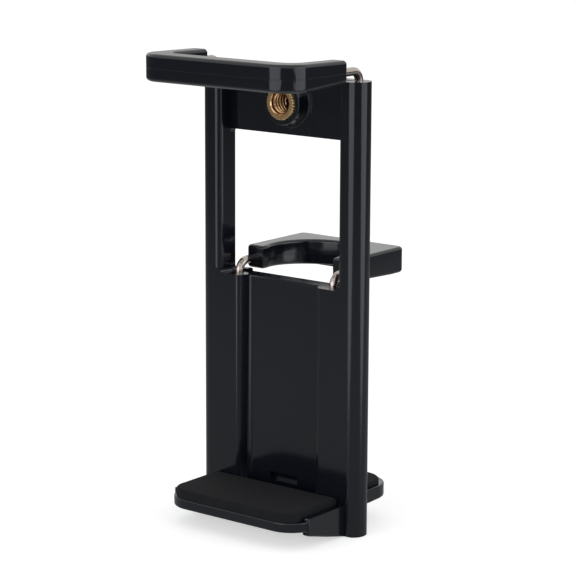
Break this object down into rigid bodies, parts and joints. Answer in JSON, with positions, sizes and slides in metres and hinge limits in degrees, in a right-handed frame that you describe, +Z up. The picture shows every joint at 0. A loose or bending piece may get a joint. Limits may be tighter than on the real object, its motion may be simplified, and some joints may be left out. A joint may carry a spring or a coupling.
{
  "type": "tripod phone mount adapter",
  "caption": "Tripod adapter with a sprung jaw on the front for a tablet and another on the back for a phone, sliding on bent wires in a slim two-shell frame with a brass tripod thread.",
  "frame": {"origin": "mouth of the brass threaded insert, on its axis", "axes": "+Z up along the frame towards the tablet jaw, -Y out of the insert's mouth towards the tablet side, +Y towards the phone side, +X to the right seen from the tablet side"},
  "size_m": [0.0572, 0.0652, 0.1362],
  "materials": {
    "shell": "smooth moulded, glossy black",
    "pad": "matte black foam",
    "insert": "bright turned brass",
    "wire": "polished plated steel wire",
    "screw": "plated steel",
    "spring": "drawn spring steel"
  },
  "bodies": {
    "frame": {"front_shell": "shell", "rear_shell": "shell", "shell_screws": "screw", "thread_insert": "insert", "front_ledge_pad": "pad", "rear_ledge_pad": "pad", "tablet_spring_left": "spring", "tablet_spring_right": "spring", "phone_spring_left": "spring", "phone_spring_right": "spring"},
    "tablet_jaw": {"tablet_jaw_upper": "shell", "tablet_jaw_lower": "shell", "tablet_jaw_pads": "pad", "tablet_jaw_screws": "screw", "tablet_bail": "wire", "tablet_collars": "screw"},
    "phone_jaw": {"phone_jaw_upper": "shell", "phone_jaw_lower": "shell", "phone_jaw_pad": "pad", "phone_jaw_screws": "screw", "phone_bail": "wire", "phone_collars": "screw"}
  },
  "joints": [
    {"name": "tablet_jaw_slide", "type": "slide", "parent": "frame", "child": "tablet_jaw", "axis": [0, 0, 1], "range_m": [0, 0.075], "stiffness_N_per_m": 80, "springref_m": -0.025, "deforming": ["tablet_spring_left", "tablet_spring_right"]},
    {"name": "phone_jaw_slide", "type": "slide", "parent": "frame", "child": "phone_jaw", "axis": [0, 0, 1], "range_m": [0, 0.033], "stiffness_N_per_m": 120, "springref_m": -0.017, "deforming": ["phone_spring_left", "phone_spring_right"]}
  ]
}
